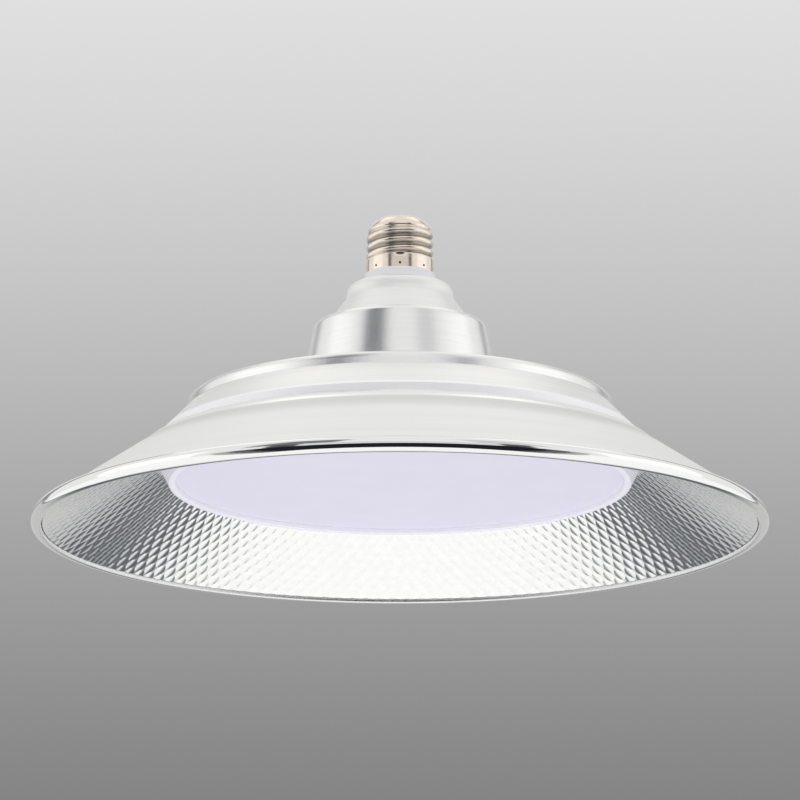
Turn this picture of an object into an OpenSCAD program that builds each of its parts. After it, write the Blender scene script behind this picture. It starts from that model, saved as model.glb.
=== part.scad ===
// Screw-in LED pendant lamp with a wide spun shade.
// The origin is on the lamp's axis, in the plane of the rim's lowest point. The cap is at the top.

/* [Shade] */
// Outer diameter of the rim
rim_d = 283.6; // [270:0.2:320]
// Radius of the rolled lip
lip_r = 2.9; // [2.2:0.1:4]
// Rounding of the lip's inner corner, inside the sheet
lip_corner_r = 0.3; // [0.2:0.05:0.6]
// Angle above the horizontal at which the rolled edge ends
lip_end_a = 80; // [40:5:85]
// Thickness of the shade's sheet
shade_t = 1.0; // [0.6:0.1:1.4]
// Height at which the cone runs into the lip's gutter
gutter_z = 4.8; // [4.4:0.1:6]
// Slope of the cone from the horizontal, in degrees
cone_a = 34.4; // [30:0.2:38]
// Width of the cone, seen from above
cone_w = 36.9; // [30:0.1:45]
// Rise of the polished bead
bead_h = 4.6; // [4:0.1:6]
// Width of the polished bead, seen from above
bead_w = 8.5; // [7:0.1:10]
// Bulge of the polished bead
bead_bulge = 0.7; // [0.3:0.1:1]
// Width of the flat flange inside the bead
flange_w = 9.3; // [8.6:0.1:12]

/* [Housing] */
// Thickness of the housing's sheet
housing_t = 1.2; // [0.8:0.1:1.6]
// Height of the housing's skirt above the heat spreader
skirt_over = 0.3; // [0.2:0.1:1.5]
// Step between the skirt and the bead's upper edge
skirt_inset = 0.4; // [0.2:0.1:0.8]
// Width of the matte band, seen from above
band_w = 10.1; // [6:0.1:14]
// Rise of the matte band between skirt and shoulder
band_h = 10.2; // [7:0.1:14]
// Height of the disc's shoulder above the band
shoulder_h = 4.7; // [4:0.1:8]
// Rounding of the disc's shoulder
shoulder_r = 2.6; // [1.6:0.1:3.5]
// Outward lean of the shoulder's flank at its foot
shoulder_lean = 0.2; // [0.1:0.1:0.6]
// Width of the ledge round the bell's foot
step_ledge_w = 5.5; // [4.6:0.1:8]
// Widening of the stepped cylinder from its shoulder to its foot
step_flare_w = 5.4; // [3:0.1:9]
// Height of the stepped cylinder
step_h = 31.3; // [28:0.1:40]
// Rounding of the cylinder's shoulder
step_r = 2.8; // [1.8:0.1:3.2]
// Fillet round the cylinder's foot
step_fillet_r = 2.6; // [1.5:0.1:4]
// Diameter of the bell at its waist
bell_waist_d = 41.6; // [40:0.2:44]
// Height of the bell
bell_h = 16.2; // [15:0.1:20]
// Rounding of the bell's crown
bell_r = 3.5; // [2.5:0.1:5]
// Height of the plain band at the bell's waist
waist_h = 0.4; // [0.2:0.1:1]
// Radius of the hollow between the bell's waist and its flare
hollow_r = 5.0; // [3:0.1:8]
// Slope of the bell's flare from the vertical, in degrees
flare_a = 36; // [30:1:38]
// Fillet round the bell's foot
bell_fillet_r = 1.5; // [1:0.1:2.5]
// Gap between the sleeve's neck and the hole in the bell's top
neck_gap = 0.5; // [0.3:0.1:1]

/* [Reflector liner] */
// Number of diamonds around the liner
diamonds = 148; // [120:2:156]
// Number of half rows of diamonds down the liner
half_rows = 11; // [7:2:13]
// Height of each diamond's point
emboss = 0.7; // [0.3:0.05:1]
// Thickness of the liner's sheet between the points
liner_t = 0.6; // [0.4:0.1:1]
// Distance of the liner's upper edge inside the bead's lower edge
liner_inset = 5.9; // [5.4:0.1:6.4]
// Height of the liner's lower edge
liner_foot_z = 1.8; // [1.6:0.1:2.4]

/* [Diffuser] */
// Thickness of the diffuser's wall
diffuser_t = 1.5; // [1:0.1:2]
// Depth of the diffuser, from its flange down to its ring
diffuser_h = 11.3; // [8:0.1:14]
// Gap between the liner's upper edge and the diffuser's wall
wall_gap = 0.9; // [0.5:0.1:1.2]
// Distance of the ring's outer edge inside the liner's upper edge
ring_inset = 6.4; // [5:0.1:9]
// Width of that ring
ring_w = 2.6; // [2.2:0.1:5]
// Depth of that ring below the flat face
ring_h = 2.0; // [1.2:0.1:3]
// Width of the diffuser's flange
diffuser_flange_w = 2.1; // [1.6:0.1:2.2]
// Thickness of the diffuser's flange
diffuser_flange_t = 1.3; // [1:0.1:1.4]

/* [Cap] */
// Major diameter of the cap's thread
thread_d = 26.45; // [26.05:0.05:26.45]
// Depth of the cap's thread
thread_h = 1.095; // [0.9:0.005:1.2]
// Pitch of the cap's thread
thread_pitch = 3.629; // [3.4:0.001:3.8]
// Number of full turns of the thread
thread_turns = 3; // [2:1:4]
// Distance by which the cap's plain skirt stands out beyond the thread
cap_skirt_out = 0.025; // [0:0.025:0.2]
// Height of the cap's plain skirt
cap_skirt_h = 4.2; // [3.5:0.1:6]
// Thickness of the cap's sheet
cap_t = 0.4; // [0.3:0.05:0.5]
// Radius of the rounded top of the cap's shell
cap_round_r = 7.5; // [7:0.1:8]
// Angle above the horizontal at which that rounding ends
crown_a = 70; // [66:1:74]
// Width of the insulator's ring between the shell and the centre contact
insulator_w = 2.5; // [2:0.1:3.5]
// Height of the centre contact above its seat
contact_h = 1.2; // [0.9:0.1:1.8]
// Depth of the contact's seat below the top of the shell's rounding
contact_sink = 0.5; // [0.3:0.1:0.8]
// Diameter of the contact's stub inside the cap
contact_stub_d = 4.0; // [3:0.1:5]
// Reach of the stub below the insulator
stub_out = 1.0; // [0.5:0.1:2]

/* [Collar and sleeve] */
// Diameter of the collar at its foot
collar_d = 29.0; // [28.4:0.1:31]
// Height of the collar between housing and cap
collar_h = 4.6; // [4:0.1:7]
// Height of the collar's boss inside the cap
boss_h = 3.2; // [2.6:0.1:4]
// Diameter of the driver sleeve
sleeve_d = 51.0; // [50:0.2:52]
// Wall of the driver sleeve
sleeve_t = 1.5; // [1.2:0.1:1.8]
// Distance of the sleeve's shoulder below the bell's foot
sleeve_drop = 4.0; // [3:0.1:5]
// Rise of the sleeve's roof for each mm inwards
sleeve_rise = 0.85; // [0.8:0.05:1]
// Diameter of the sleeve's neck
neck_d = 19.0; // [18.4:0.1:19]
// Depth of the neck's top below the boss's top
neck_sink = 1.0; // [0.5:0.1:1.5]
// Width of the sleeve's foot flange
sleeve_foot_w = 7.5; // [6:0.1:9.5]
// Thickness of the sleeve's foot flange
sleeve_foot_t = 2.0; // [1.6:0.1:3]

/* [LED plate] */
// Thickness of the heat spreader
spreader_t = 2.2; // [1.6:0.1:2.2]
// Gap between the LED board and the shade's flange
board_gap = 3.9; // [1:0.1:10]
// Thickness of the LED board
board_t = 1.6; // [1:0.1:2]
// Number of LED chips in the innermost of the three rings
inner_chips = 12; // [6:1:16]
// Distance of the outermost LED ring from the board's edge
chip_edge = 14.0; // [12:0.5:20]
// Length of an LED chip
chip_l = 3.5; // [2.8:0.1:5]
// Width of an LED chip
chip_w = 2.8; // [2:0.1:3.4]
// Height of an LED chip
chip_h = 0.8; // [0.6:0.1:1.2]

/* [Screws] */
// Shank diameter of the screws
screw_d = 3.0; // [2.5:0.1:3.2]
// Head diameter of the screws
screw_head_d = 5.5; // [5:0.1:6]
// Head height of the screws
screw_head_h = 1.9; // [1.4:0.1:2.2]
// Number of screws that hold the shade
shade_screws_n = 6; // [3:1:8]

/* [Driver] */
// Gap between the driver board's edges and the sleeve
pcb_edge_gap = 2.0; // [1.6:0.1:3]
// Gap between the tall parts on the board and the sleeve
part_gap = 0.9; // [0.6:0.1:1.5]
// Reach of the driver board above the sleeve's shoulder
pcb_rise = 2.5; // [0:0.1:2.8]
// Thickness of the driver board
pcb_t = 1.6; // [1:0.1:2]
// Height of the driver board's lower edge above the sleeve's foot
pcb_lift = 3.0; // [2:0.1:4]
// Diameter of the bulk capacitor
bulk_cap_d = 10.0; // [8:0.1:11]
// Length of the bulk capacitor
bulk_cap_l = 15.0; // [10:0.1:15.5]
// Diameter of the output capacitor
out_cap_d = 8.0; // [6:0.1:9]
// Length of the output capacitor
out_cap_l = 12.0; // [8:0.1:14]
// Side of the transformer's core
core_w = 16.0; // [12:0.1:17]
// Diameter of the wires over their insulation
wire_d = 1.8; // [1.2:0.1:2]

/* [Fit] */
// Clearance between pieces that seat in each other
gap = 0.3; // [0.2:0.05:0.4]

/* [Hidden] */

$fn = 96;

// Length by which a cutter passes each face that it cuts
over = 1;

// Shade: the lip's centre, the gutter's wall and the points where the cone starts and ends
rim_r = rim_d / 2;
lip_c = rim_r - lip_r;
gutter_r = lip_c - lip_corner_r;
bead_r = gutter_r - cone_w;
bead_z = gutter_z + cone_w * tan(cone_a);
flange_z = bead_z + bead_h;
flange_r = bead_r - bead_w;
flange_hole_r = flange_r - flange_w;

// Housing: radii and heights of its steps
skirt_r = flange_r - skirt_inset;
disc_r = skirt_r - band_w;
skirt_h = spreader_t + skirt_over;
disc_z = flange_z + skirt_h + band_h + shoulder_h;
shoulder_a = atan(shoulder_lean / (shoulder_h - shoulder_r));
step_z = disc_z + step_h;
bell_z = step_z + bell_h;
waist_r = bell_waist_d / 2;
waist_z = bell_z - bell_r - waist_h;
flare_z = waist_z - hollow_r * sin(flare_a);
bell_foot_r = waist_r + hollow_r * (1 - cos(flare_a)) + (flare_z - step_z) * tan(flare_a);
step_top_r = bell_foot_r + step_ledge_w;
step_base_r = step_top_r + step_flare_w;
step_lean = atan(step_flare_w / step_h);

// Cap: radii of its thread and skirt, and heights from the collar up
thread_r = thread_d / 2;
thread_root_r = thread_r - thread_h;
cap_skirt_r = thread_r + cap_skirt_out;
cap_z = bell_z + collar_h;
thread_z = cap_z + cap_skirt_h;
thread_top_z = thread_z + thread_turns * thread_pitch;
cap_round_c = thread_r - cap_round_r;
contact_r = cap_round_c + cap_round_r * cos(crown_a) - insulator_w;
contact_seat_z = thread_top_z + cap_round_r - contact_sink;
insulator_foot_z = thread_top_z - gap / 3;
stub_foot_z = insulator_foot_z - stub_out;

// Collar and sleeve
boss_r = cap_skirt_r - cap_t - gap;
neck_r = neck_d / 2;
neck_in = neck_r - sleeve_t;
sleeve_r = sleeve_d / 2;
sleeve_in = sleeve_r - sleeve_t;
sleeve_z = flange_z + spreader_t;
sleeve_foot_top = sleeve_z + sleeve_foot_t;
sleeve_top_z = step_z - sleeve_drop;
sleeve_neck_z = sleeve_top_z + (sleeve_r - neck_r) * sleeve_rise;
neck_top_z = cap_z + boss_h - neck_sink;

// Plates and the rings on which their screws stand
spreader_r = skirt_r - housing_t - gap;
board_r = flange_hole_r - board_gap;
board_z = flange_z - board_t;
chip_rings = 3;
chip_ring_step = (board_r - chip_edge) / chip_rings;
screw_r = screw_d / 2;
screw_hole_r = screw_r + gap / 2;
shade_screw_ring = flange_hole_r + screw_head_d / 2 + gap;
board_screw_ring = board_r - screw_head_d;
board_screws_n = 4;
sleeve_screw_ring = sleeve_r + sleeve_foot_w / 2;
sleeve_screws_n = 3;
wire_hole_r = 5;

// Liner and diffuser
liner_top_r = bead_r - liner_inset;
liner_top_z = bead_z;
liner_foot_r = gutter_r - shade_t - gap;
liner_slope = (liner_top_z - liner_foot_z) / (liner_foot_r - liner_top_r);
liner_rise = liner_t * sqrt(1 + liner_slope * liner_slope);
diffuser_z = liner_top_z + gap;
diffuser_wall_r = liner_top_r - wall_gap;
ring_r = liner_top_r - ring_inset;
ring_z = diffuser_z - diffuser_h;
face_z = ring_z + ring_h;

// Driver board, upright in the sleeve
pcb_w = 2 * (sleeve_in - pcb_edge_gap);
pcb_z = sleeve_foot_top + pcb_lift;
pcb_top_z = sleeve_top_z + pcb_rise;
pcb_h = pcb_top_z - pcb_z;
front_y = pcb_t / 2;
back_y = -pcb_t / 2;
pin_r = 0.4;
wire_r = wire_d / 2;

// Points of an arc, from angle a0 to angle a1, with n steps
function arc(cx, cy, r, a0, a1, n) =
    [for (i = [0:n]) [cx + r * cos(a0 + (a1 - a0) * i / n), cy + r * sin(a0 + (a1 - a0) * i / n)]];

// Hollow fillet between a wall that leans by a and meets the height z at radius r, and the flat there
function foot_fillet(r, z, a, rf, n) = arc(r - rf * tan(a) + rf / cos(a), z + rf, rf, 180 + a, 270, n);

// Unit vector from one point to the next
function unit(v) = v / norm(v);

// A path moved sideways by t, to its right, with mitred corners
function side_of(v) = [v[1], -v[0]];
function normal_at(p, i) =
    i == 0 ? side_of(unit(p[1] - p[0]))
    : i == len(p) - 1 ? side_of(unit(p[i] - p[i - 1]))
    : let (a = side_of(unit(p[i] - p[i - 1])), b = side_of(unit(p[i + 1] - p[i])), m = unit(a + b))
      m / (m * a);
function inset(p, t) = [for (i = [0:len(p) - 1]) p[i] + t * normal_at(p, i)];
function reversed(p) = [for (i = [len(p) - 1:-1:0]) p[i]];

// A turned sheet: the path is its outer face, from the middle outwards and down
module turned_sheet(path, t) {
    rotate_extrude() polygon(concat(path, reversed(inset(path, t))));
}

module ring_of(n, r) {
    for (i = [0:n - 1]) rotate([0, 0, i * 360 / n]) translate([r, 0, 0]) children();
}

// Drills n holes of radius r on a ring, through the heights from z0 to z1
module drilled(n, ring, r, z0, z1, turn = 0) {
    difference() {
        children();
        rotate([0, 0, turn]) ring_of(n, ring)
            translate([0, 0, z0 - over]) cylinder(r = r, h = z1 - z0 + 2 * over);
    }
}

// Cap

module centre_contact() {
    edge_r = contact_h * 0.6;
    socket = 2;
    color("silver") difference() {
        rotate_extrude() polygon(concat(
            [[0, stub_foot_z], [contact_stub_d / 2, stub_foot_z],
             [contact_stub_d / 2, contact_seat_z], [contact_r, contact_seat_z]],
            arc(contact_r - edge_r, contact_seat_z + contact_h * 0.3, edge_r, 0, 75, 5),
            [[0, contact_seat_z + contact_h]]
        ));
        translate([0, 0, stub_foot_z - over]) cylinder(r = wire_r + gap / 2, h = socket + over);
    }
}

module cap_insulator() {
    inner = cap_round_r - cap_t - gap;
    slip = gap / 3;
    seat_w = 0.9;
    edge = 0.4;
    color("gainsboro") difference() {
        rotate_extrude() polygon(concat(
            [[0, insulator_foot_z], [cap_round_c + inner, insulator_foot_z]],
            arc(cap_round_c, thread_top_z, inner, 0, crown_a - 6, 7),
            [[contact_r + seat_w + edge, contact_seat_z - edge],
             [contact_r + seat_w, contact_seat_z + edge], [0, contact_seat_z + edge]]
        ));
        translate([0, 0, contact_seat_z - slip / 2]) cylinder(r = contact_r + slip, h = edge + over);
        translate([0, 0, insulator_foot_z - over])
            cylinder(r = contact_stub_d / 2 + slip, h = cap_round_r + 2 * over);
    }
}

// Rolled sheet: the thread's crests and roots follow one wave
module screw_shell() {
    steps = 10;
    mid_r = (thread_r + thread_root_r) / 2;
    amp = thread_h / 2;
    run_in = 0.5;
    wave = [for (i = [thread_turns * steps - 1:-1:0])
        [mid_r + amp * cos(360 * i / steps), thread_z + thread_pitch * i / steps]];
    path = concat(
        arc(cap_round_c, thread_top_z, cap_round_r, crown_a, 0, 8),
        wave,
        [[cap_skirt_r, thread_z - run_in], [cap_skirt_r, cap_z]]
    );
    color("silver") turned_sheet(path, cap_t);
}

module base_collar() {
    foot_r = collar_d / 2;
    bevel = 0.4;
    round_r = 0.9;
    shelf_r = cap_skirt_r + 0.8;
    shelf_z = bell_z + collar_h * 0.55;
    color("lavender") difference() {
        rotate_extrude() polygon(concat(
            [[neck_r + gap, bell_z], [foot_r - bevel, bell_z], [foot_r, bell_z + bevel],
             [shelf_r, shelf_z]],
            arc(shelf_r - round_r, cap_z - round_r, round_r, 0, 90, 4),
            [[boss_r, cap_z], [boss_r, cap_z + boss_h - bevel], [boss_r - bevel, cap_z + boss_h],
             [neck_r + gap, cap_z + boss_h]]
        ));
        // Notch that lets the neutral wire out to the shell
        translate([neck_r, -wire_r - gap, neck_top_z - wire_d + gap])
            cube([boss_r - neck_r + over, wire_d + 2 * gap, boss_h]);
    }
}

// Housing and shade, both spun from sheet

function housing_path() = concat(
    [[neck_r + neck_gap, bell_z]],
    arc(waist_r - bell_r, bell_z - bell_r, bell_r, 90, 0, 8),
    arc(waist_r + hollow_r, waist_z, hollow_r, 180, 180 + flare_a, 6),
    foot_fillet(bell_foot_r, step_z, flare_a, bell_fillet_r, 5),
    arc(step_top_r - step_r, step_z - step_r, step_r, 90, step_lean, 7),
    foot_fillet(step_base_r, disc_z, step_lean, step_fillet_r, 6),
    arc(disc_r - shoulder_r, disc_z - shoulder_r, shoulder_r, 90, shoulder_a, 7),
    [[disc_r + shoulder_lean, disc_z - shoulder_h],
     [skirt_r, flange_z + skirt_h],
     [skirt_r, flange_z]]
);

module housing() {
    color("whitesmoke") turned_sheet(housing_path(), housing_t);
}

// The bead bows out between the flange and the cone by bead_bulge
function bead_path(n) = let (
    a = [flange_r, flange_z], b = [bead_r, bead_z], out = side_of(unit(a - b))
) [for (i = [0:n]) let (s = i / n) a + (b - a) * s + out * bead_bulge * 4 * s * (1 - s)];

// The lip turns down, outwards and back up into a round roll that stops short of the cone
function shade_path() = concat(
    [[flange_hole_r, flange_z]],
    bead_path(8),
    [[gutter_r, gutter_z]],
    arc(lip_c, lip_corner_r + shade_t, lip_corner_r, 180, 260, 3),
    arc(lip_c, lip_r, lip_r - shade_t, 270, 360 + lip_end_a, 16)
);

module shade() {
    color("gainsboro") drilled(shade_screws_n, shade_screw_ring, screw_hole_r, flange_z - shade_t, flange_z)
        turned_sheet(shade_path(), shade_t);
}

// Liner: a cone of diamonds, each a low pyramid of four facets

function liner_point(k, i) = let (
    s = k / half_rows,
    peak = k > 0 && (i + k) % 2 == 1 ? emboss : 0,
    r = liner_top_r + (liner_foot_r - liner_top_r) * s,
    z = liner_top_z - (liner_top_z - liner_foot_z) * s,
    n = unit([-liner_slope, -1]),
    a = i * 180 / diamonds,
    edge = k == half_rows ? 0 : 1
) [(r + peak * n[0] * edge) * cos(a), (r + peak * n[0] * edge) * sin(a), z + peak * n[1]];

module reflector_liner() {
    m = 2 * diamonds;
    back_top_r = liner_top_r + liner_rise / liner_slope;
    front = [for (k = [0:half_rows], i = [0:m - 1]) liner_point(k, i)];
    back_foot = [for (i = [0:m - 1]) let (a = i * 180 / diamonds)
        [liner_foot_r * cos(a), liner_foot_r * sin(a), liner_foot_z + liner_rise]];
    back_top = [for (i = [0:m - 1]) let (a = i * 180 / diamonds)
        [back_top_r * cos(a), back_top_r * sin(a), liner_top_z]];
    // Each quad is cut along the diagonal that joins its two low corners
    facets = [for (k = [0:half_rows - 1], i = [0:m - 1]) let (
        j = (i + 1) % m,
        a = k * m + i, b = k * m + j, c = (k + 1) * m + j, d = (k + 1) * m + i
    ) each (i + k) % 2 == 1 ? [[a, d, b], [b, d, c]] : [[a, c, b], [a, d, c]]];
    wall = [for (k = [half_rows:half_rows + 2], i = [0:m - 1]) let (
        j = (i + 1) % m,
        next = k == half_rows + 2 ? 0 : (k + 1) * m,
        a = k * m + i, b = k * m + j, c = next + j, d = next + i
    ) each [[a, c, b], [a, d, c]]];
    color("silver") polyhedron(concat(front, back_foot, back_top), concat(facets, wall), convexity = 4);
}

module diffuser() {
    wall_top = diffuser_wall_r;
    lean = (wall_top - ring_r) / diffuser_h;
    inner_round = 0.5;
    outer_round = 0.7;
    outer = concat(
        [[0, face_z], [ring_r - ring_w, face_z]],
        arc(ring_r - ring_w + 2 * inner_round, ring_z + inner_round, inner_round, 200, 270, 4),
        arc(ring_r - outer_round, ring_z + outer_round, outer_round, 270, 330, 4),
        [[wall_top, diffuser_z], [wall_top + diffuser_flange_w, diffuser_z],
         [wall_top + diffuser_flange_w, diffuser_z + diffuser_flange_t]]
    );
    inner = [
        [wall_top - diffuser_t, diffuser_z + diffuser_flange_t],
        [ring_r - diffuser_t + lean * ring_h, face_z + diffuser_t],
        [0, face_z + diffuser_t]
    ];
    color("lavender") rotate_extrude() polygon(concat(outer, inner));
}

// Heat spreader, LED board and their screws

module heat_spreader() {
    top = flange_z + spreader_t;
    color("silver")
        drilled(shade_screws_n, shade_screw_ring, screw_hole_r, flange_z, top)
        drilled(board_screws_n, board_screw_ring, screw_hole_r, flange_z, top)
        drilled(sleeve_screws_n, sleeve_screw_ring, screw_hole_r, flange_z, top, turn = 90)
        drilled(1, 0, wire_hole_r, flange_z, top)
            translate([0, 0, flange_z]) cylinder(r = spreader_r, h = spreader_t);
}

module led_board() {
    color("white")
        drilled(board_screws_n, board_screw_ring, screw_hole_r, board_z, flange_z)
        drilled(1, 0, wire_hole_r, board_z, flange_z)
            translate([0, 0, board_z]) cylinder(r = board_r, h = board_t);
}

// Each ring is turned a little, so that no chip stands in the way of a screw or wire
module led_chips() {
    turn = 7.5;
    color("khaki") for (ring = [1:chip_rings])
        rotate([0, 0, turn / ring]) ring_of(inner_chips * ring, chip_ring_step * ring)
            translate([-chip_w / 2, -chip_l / 2, board_z - chip_h]) cube([chip_w, chip_l, chip_h]);
}

// A pan-head screw whose head sits under z = 0, with its shank above
module screw_up(l) {
    bevel = 0.5;
    rotate_extrude() polygon([
        [0, -screw_head_h], [screw_head_d / 2 - bevel, -screw_head_h],
        [screw_head_d / 2, -screw_head_h + bevel], [screw_head_d / 2, 0],
        [screw_r, 0], [screw_r, l - bevel], [screw_r - bevel, l], [0, l]
    ]);
}

module led_board_screws() {
    color("gray") ring_of(board_screws_n, board_screw_ring)
        translate([0, 0, board_z]) screw_up(board_t + spreader_t);
}

module shade_screws() {
    color("gray") ring_of(shade_screws_n, shade_screw_ring)
        translate([0, 0, flange_z - shade_t]) screw_up(shade_t + spreader_t);
}

module sleeve_screws() {
    color("gray") rotate([0, 0, 90]) ring_of(sleeve_screws_n, sleeve_screw_ring)
        translate([0, 0, sleeve_foot_top]) mirror([0, 0, 1]) screw_up(sleeve_foot_t + spreader_t);
}

// The sleeve keeps the driver away from the metal, and its neck holds the collar
module driver_sleeve() {
    foot_r = sleeve_r + sleeve_foot_w;
    roof = 0.6;
    rib_t = 1.2;
    rib_grip = 1.6;
    rib_l = sleeve_in - pcb_w / 2 + rib_grip + gap;
    rib_x = pcb_w / 2 - rib_grip;
    color("ivory") {
        drilled(sleeve_screws_n, sleeve_screw_ring, screw_hole_r, sleeve_z, sleeve_foot_top, turn = 90)
            rotate_extrude() polygon([
                [wire_hole_r, sleeve_z], [foot_r, sleeve_z], [foot_r, sleeve_foot_top],
                [sleeve_r, sleeve_foot_top], [sleeve_r, sleeve_top_z], [neck_r, sleeve_neck_z],
                [neck_r, neck_top_z], [neck_in, neck_top_z], [neck_in, sleeve_neck_z - roof],
                [sleeve_in, sleeve_top_z - roof], [sleeve_in, sleeve_foot_top],
                [wire_hole_r, sleeve_foot_top]
            ]);
        // Slots that take the driver board's edges, and the ledges that it stands on
        for (side = [0, 180]) rotate([0, 0, side]) {
            for (y = [front_y + gap, back_y - gap - rib_t])
                translate([rib_x, y, sleeve_foot_top]) cube([rib_l, rib_t, pcb_h * 0.8]);
            translate([rib_x, back_y - 2 * gap, sleeve_foot_top])
                cube([rib_l, pcb_t + 4 * gap, pcb_lift]);
        }
    }
}

// Driver

// A place on the driver board: x and z are shares of its width and height, from its lower middle
function board_at(x, y, z) = [pcb_w * x, y, pcb_z + pcb_h * z];

// Place of a tall part on the board's front, as far to one side as the round sleeve lets it stand
function beside(side, half_w, l, z) =
    let (reach = sqrt(pow(sleeve_in, 2) - pow(front_y + l, 2)) - half_w - part_gap)
    [side * reach, front_y, pcb_z + pcb_h * z];

module driver_board() {
    corner = 4;
    color("seagreen") difference() {
        translate([-pcb_w / 2, back_y, pcb_z]) cube([pcb_w, pcb_t, pcb_h]);
        // Corners cut to follow the sleeve's shoulder
        for (side = [-1, 1]) translate([side * pcb_w / 2, 0, pcb_top_z]) rotate([0, 45, 0])
            cube([corner, pcb_t + 2 * over, corner], center = true);
    }
}

// A radial capacitor that stands on the board's front, with the groove that holds its seal
module can_capacitor(d, l) {
    bevel = 0.3;
    groove_y = 1.6;
    groove_w = 0.5;
    rotate([-90, 0, 0]) rotate_extrude() polygon([
        [0, 0], [d / 2 - bevel, 0], [d / 2, bevel], [d / 2, groove_y],
        [d / 2 - bevel, groove_y + bevel], [d / 2 - bevel, groove_y + bevel + groove_w],
        [d / 2, groove_y + 2 * bevel + groove_w], [d / 2, l - bevel], [d / 2 - bevel, l], [0, l]
    ]);
}

module bulk_capacitor() {
    color("black") translate(beside(-1, bulk_cap_d / 2, bulk_cap_l, 0.68))
        can_capacitor(bulk_cap_d, bulk_cap_l);
}

module output_capacitor() {
    color("black") translate(beside(1, out_cap_d / 2, out_cap_l, 0.18))
        can_capacitor(out_cap_d, out_cap_l);
}

// Bobbin, winding and a closed core round them
module transformer() {
    foot = 1;
    core_l = core_w * 0.8;
    core_h = core_w * 0.75;
    leg = core_w * 0.22;
    color("dimgray") translate(beside(-1, core_w / 2, foot + core_l, 0.1)) {
        translate([-core_w / 2, foot, 0]) difference() {
            cube([core_w, core_l, core_h]);
            translate([leg, leg, -over]) cube([core_w - 2 * leg, core_l - 2 * leg, core_h + 2 * over]);
        }
        translate([0, foot + leg / 2, core_h / 2]) rotate([-90, 0, 0])
            cylinder(r = core_w / 2 - leg - 0.1, h = core_l - leg);
        translate([foot - core_w / 2, 0, foot])
            cube([core_w - 2 * foot, foot + 0.2, core_h - 2 * foot]);
    }
}

module line_choke() {
    turn_r = 4.2;
    coil_r = 1.9;
    pad = 0.7;
    color("darkorange") translate(board_at(0.25, front_y + pad + coil_r, 0.78)) {
        rotate([90, 0, 0]) rotate_extrude() translate([turn_r, 0]) circle(r = coil_r, $fn = 32);
        translate([-turn_r - pad, -pad - coil_r, -coil_r]) cube([2 * (turn_r + pad), pad + 0.2, 2 * coil_r]);
    }
}

module bridge_rectifier() {
    w = 6.4;
    d = 2.5;
    h = 5;
    lead = 0.9;
    lead_out = 1.2;
    color("black") translate(board_at(-0.07, back_y - d, 0.7)) {
        cube([w, d, h]);
        for (x = [lead, w - 2 * lead], z = [-lead_out, h - 0.2]) translate([x, d - 0.6, z])
            cube([lead, 0.6, lead_out + 0.2]);
    }
}

module driver_chip() {
    w = 3.9;
    d = 1.5;
    h = 5;
    lead = 0.4;
    lead_out = 1.1;
    lead_pitch = 1.27;
    color("black") translate(board_at(0.07, back_y - d - 0.1, 0.3)) {
        cube([w, d, h]);
        for (x = [-lead_out, w - 0.2], i = [0:3]) translate([x, d + 0.1 - lead, lead + i * lead_pitch])
            cube([lead_out + 0.2, lead, lead]);
    }
}

module fusible_resistor() {
    body_r = 1.6;
    body_h = 8;
    lead_out = 1.5;
    stand = body_r + gap;
    color("tan") translate(board_at(-0.36, back_y - stand, 0.35)) {
        cylinder(r = body_r, h = body_h);
        translate([0, 0, -lead_out]) cylinder(r = pin_r, h = body_h + 2 * lead_out, $fn = 24);
        for (z = [-lead_out + pin_r, body_h + lead_out - pin_r])
            translate([0, stand, z]) rotate([90, 0, 0]) cylinder(r = pin_r, h = stand, $fn = 24);
    }
}

module varistor() {
    disc_r = 4.4;
    disc_t = 2.8;
    lead_x = 2;
    stand = disc_t + 0.8;
    color("royalblue") translate(board_at(0.3, back_y - stand, 0.7)) {
        rotate([-90, 0, 0]) cylinder(r = disc_r, h = disc_t);
        for (x = [-lead_x, lead_x]) translate([x, disc_t / 2, 0]) rotate([-90, 0, 0])
            cylinder(r = pin_r, h = stand - disc_t / 2, $fn = 24);
    }
}

// Wires: a round tube swept along points that were chosen by hand

function cross_dir(t) = abs(t[1]) < 0.9 ? unit(cross(t, [0, 1, 0])) : unit(cross(t, [1, 0, 0]));
function tangent(p, i) = unit(p[min(i + 1, len(p) - 1)] - p[max(i - 1, 0)]);

module tube(p, r, sides = 8) {
    n = len(p);
    points = [for (i = [0:n - 1], j = [0:sides - 1]) let (
        t = tangent(p, i), u = cross_dir(t), v = cross(t, u), a = j * 360 / sides
    ) p[i] + r * cos(a) * u + r * sin(a) * v];
    skin = [for (i = [0:n - 2], j = [0:sides - 1]) let (
        k = (j + 1) % sides, a = i * sides + j, b = i * sides + k
    ) each [[a, a + sides, b + sides], [a, b + sides, b]]];
    ends = [[for (j = [0:sides - 1]) j], [for (j = [sides - 1:-1:0]) (n - 1) * sides + j]];
    polyhedron(points, concat(skin, ends));
}

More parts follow.
